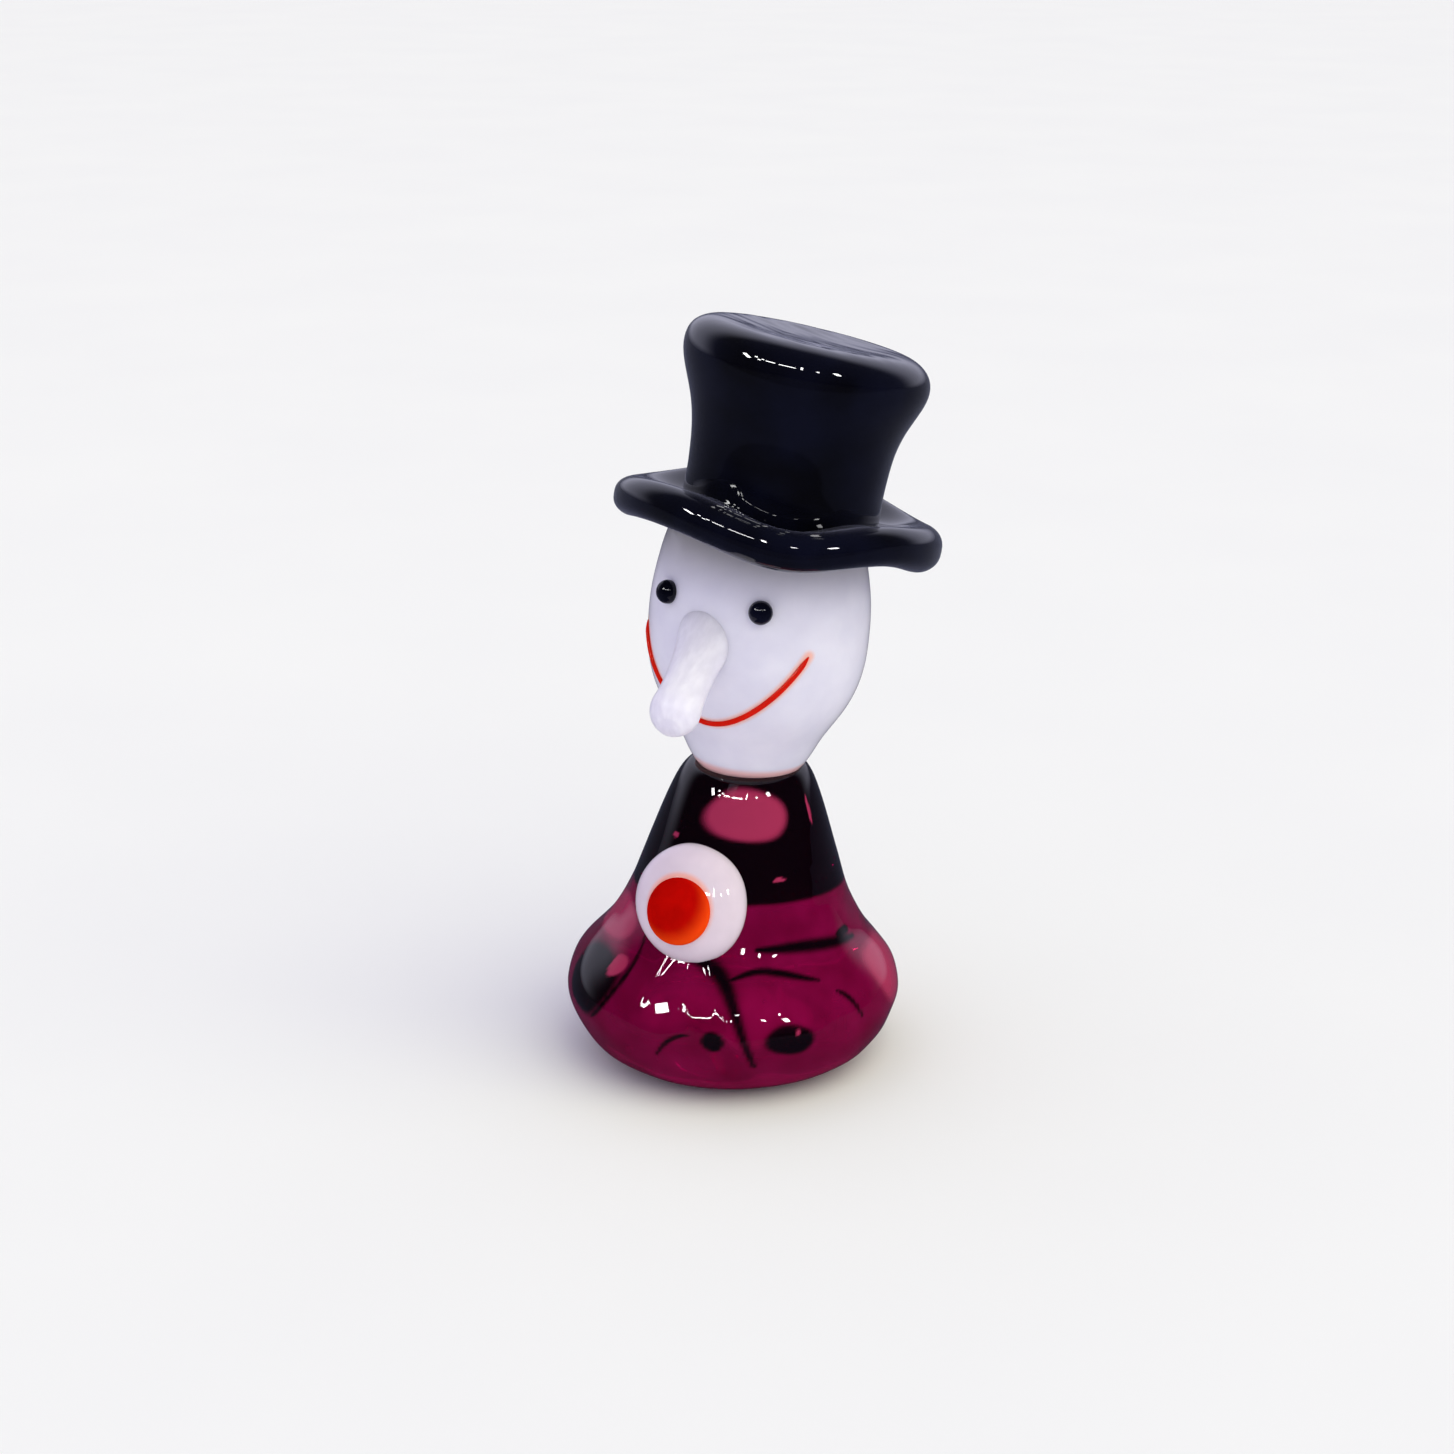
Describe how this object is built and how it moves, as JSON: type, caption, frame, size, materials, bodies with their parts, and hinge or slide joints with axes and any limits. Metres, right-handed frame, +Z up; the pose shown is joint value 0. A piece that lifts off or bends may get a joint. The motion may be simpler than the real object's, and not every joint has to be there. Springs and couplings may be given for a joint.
{
  "type": "lampworked glass figurine",
  "caption": "Small flameworked glass figurine: egg-headed gentleman in a top hat with a long drooping nose, on a transparent amethyst bell-shaped body with a domed button.",
  "frame": {"origin": "centre of the flat resting face under the bell-shaped body", "axes": "+Z up; the face and the button look along -Y; +X is the figure's own left; the head and hat lean towards +X"},
  "size_m": [0.0218, 0.0219, 0.0441],
  "materials": {
    "amethyst_glass": "transparent amethyst glass, fire-polished",
    "white_glass": "opal white glass, fire-polished",
    "nose_glass": "translucent alabaster white glass, fire-polished",
    "black_glass": "opaque black glass, fire-polished",
    "red_glass": "opaque red glass with an orange rim, fire-polished"
  },
  "bodies": {
    "root": {"body": "amethyst_glass", "head": "white_glass", "hat_brim": "black_glass", "hat_crown": "black_glass", "nose": "nose_glass", "left_eye": "black_glass", "right_eye": "black_glass", "smile": "red_glass", "button": "white_glass", "button_centre": "red_glass"}
  },
  "joints": []
}
